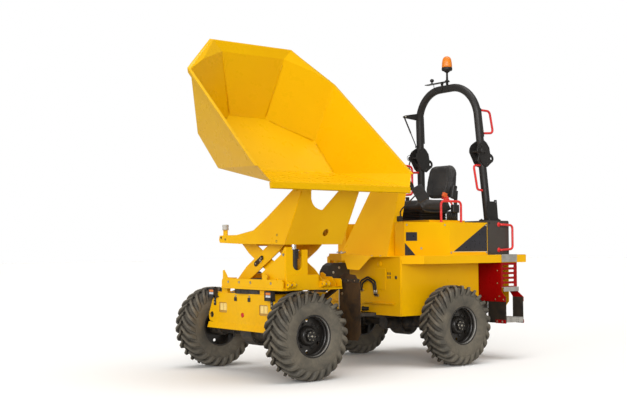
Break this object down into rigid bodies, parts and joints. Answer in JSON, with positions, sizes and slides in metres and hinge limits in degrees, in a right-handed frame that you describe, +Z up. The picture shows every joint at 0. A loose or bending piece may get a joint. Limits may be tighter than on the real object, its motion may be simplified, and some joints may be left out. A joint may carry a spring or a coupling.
{
  "type": "swivel-skip site dumper",
  "caption": "Articulated four-wheel site dumper with a raised, swivelled and tipped skip on crossed lifting arms, driver seat and folding roll bar.",
  "frame": {"origin": "centre of the bounding box at the ground", "axes": "+X forward along the machine, +Y to the machine's left, +Z up"},
  "size_m": [4.046, 2.218, 3.4959],
  "materials": {
    "yellow_paint": "gloss",
    "chassis_black": "satin",
    "tyre": "matte",
    "rim_grey": "satin",
    "pin_steel": "machined",
    "flap_rubber": "matte",
    "lamp_glass": "clear",
    "amber_lens": "gloss",
    "ram_black": "satin",
    "rod_chrome": "polished",
    "engine_iron": "rough",
    "dark_grey_paint": "satin",
    "red_paint": "gloss",
    "tread_grey": "punched",
    "black_plastic": "matte",
    "seat_vinyl": "satin"
  },
  "bodies": {
    "front_left_wheel": {"front_left_tyre": "tyre", "front_left_rim": "rim_grey"},
    "front_right_wheel": {"front_right_tyre": "tyre", "front_right_rim": "rim_grey"},
    "rear_left_wheel": {"rear_left_tyre": "tyre", "rear_left_rim": "rim_grey"},
    "rear_right_wheel": {"rear_right_tyre": "tyre", "rear_right_rim": "rim_grey"},
    "front_unit": {"front_axle": "chassis_black", "front_frame": "yellow_paint", "front_bumper": "yellow_paint", "headlamps": "lamp_glass", "lamp_brackets": "chassis_black", "indicator_lenses": "amber_lens", "centre_yoke": "chassis_black", "mudflaps": "flap_rubber", "turntable_ring": "chassis_black"},
    "swivel": {"swivel_base": "yellow_paint", "lift_towers": "yellow_paint", "lift_ram_barrel": "ram_black"},
    "lift_rods": {"lift_ram_rod": "rod_chrome"},
    "arm_a": {"lift_arm_a": "yellow_paint"},
    "arm_b": {"lift_arm_b": "yellow_paint"},
    "upper": {"upper_frame": "yellow_paint", "skip_buffers": "flap_rubber"},
    "skip_body": {"skip": "yellow_paint"},
    "tip_barrel": {"tip_ram_barrel": "ram_black"},
    "tip_rod": {"tip_ram_rod": "rod_chrome"},
    "hoop": {"rops_hoop": "chassis_black", "beacon": "amber_lens", "hoop_handle": "red_paint"},
    "rear_unit": {"centre_pivot_pin": "pin_steel", "deck": "yellow_paint", "driver_controls": "black_plastic", "engine_block": "engine_iron", "engine_cover": "yellow_paint", "front_cowl": "yellow_paint", "grab_handles": "red_paint", "hydraulic_hoses": "flap_rubber", "mirror": "black_plastic", "rear_axle": "chassis_black", "rear_body": "yellow_paint", "rear_box": "dark_grey_paint", "rear_frame": "chassis_black", "rops_legs": "chassis_black", "seat_backrest": "seat_vinyl", "seat_cushion": "seat_vinyl", "seat_suspension": "black_plastic", "step_panels": "red_paint", "step_straps": "flap_rubber", "step_treads": "tread_grey"}
  },
  "joints": [
    {"name": "front_left_spin", "type": "hinge", "parent": "front_unit", "child": "front_left_wheel", "pos_m": [1.21403, 0.6795, 0.4225], "axis": [0, 1, 0], "continuous": true},
    {"name": "front_right_spin", "type": "hinge", "parent": "front_unit", "child": "front_right_wheel", "pos_m": [1.21403, -0.9475, 0.4225], "axis": [0, 1, 0], "continuous": true},
    {"name": "rear_left_spin", "type": "hinge", "parent": "rear_unit", "child": "rear_left_wheel", "pos_m": [-0.77397, 0.6795, 0.4225], "axis": [0, 1, 0], "continuous": true},
    {"name": "rear_right_spin", "type": "hinge", "parent": "rear_unit", "child": "rear_right_wheel", "pos_m": [-0.77397, -0.9475, 0.4225], "axis": [0, 1, 0], "continuous": true},
    {"name": "steer", "type": "hinge", "parent": "rear_unit", "child": "front_unit", "pos_m": [0.12003, -0.134, 0.7], "axis": [0, 0, 1], "range_deg": [-35, 35]},
    {"name": "swivel_turn", "type": "hinge", "parent": "front_unit", "child": "swivel", "pos_m": [1.07503, -0.134, 0.85], "axis": [0, 0, 1], "range_deg": [-180, 0]},
    {"name": "lift", "type": "hinge", "parent": "swivel", "child": "arm_b", "pos_m": [1.07503, 0.451, 0.925], "axis": [-1, 0, 0], "range_deg": [-17, 0]},
    {"name": "lift_cross", "type": "hinge", "parent": "arm_b", "child": "arm_a", "pos_m": [1.07503, 0.07215, 1.135], "axis": [-1, 0, 0], "range_deg": [0, 34]},
    {"name": "lift_top", "type": "hinge", "parent": "arm_a", "child": "upper", "pos_m": [1.07503, 0.451, 1.345], "axis": [-1, 0, 0], "range_deg": [-17, 0]},
    {"name": "lift_rod", "type": "slide", "parent": "swivel", "child": "lift_rods", "axis": [0, 0, 1], "range_m": [-0.2409, 0]},
    {"name": "tip", "type": "hinge", "parent": "upper", "child": "skip_body", "pos_m": [1.07503, 0.816, 1.815], "axis": [-1, 0, 0], "range_deg": [-42, 6]},
    {"name": "tip_ram_swing", "type": "hinge", "parent": "upper", "child": "tip_barrel", "pos_m": [1.07503, 0.586, 1.325], "axis": [-1, 0, 0], "range_deg": [-1.69, 0.25]},
    {"name": "tip_ram_stroke", "type": "slide", "parent": "tip_barrel", "child": "tip_rod", "axis": [0, -0.0706, 0.9975], "range_m": [-0.20245, 0.02978]},
    {"name": "rops_fold", "type": "hinge", "parent": "rear_unit", "child": "hoop", "pos_m": [-1.53697, -0.134, 2.33], "axis": [0, -1, 0], "range_deg": [0, 105]}
  ],
  "couplings": [
    {"joint": "lift_cross", "follows": "lift", "ratio": -2},
    {"joint": "lift_top", "follows": "lift", "ratio": 1},
    {"joint": "lift_rod", "follows": "lift", "m_per_rad": 0.80848},
    {"joint": "tip_ram_swing", "follows": "tip", "ratio": 0.040103},
    {"joint": "tip_ram_stroke", "follows": "tip", "m_per_rad": 0.27482}
  ]
}
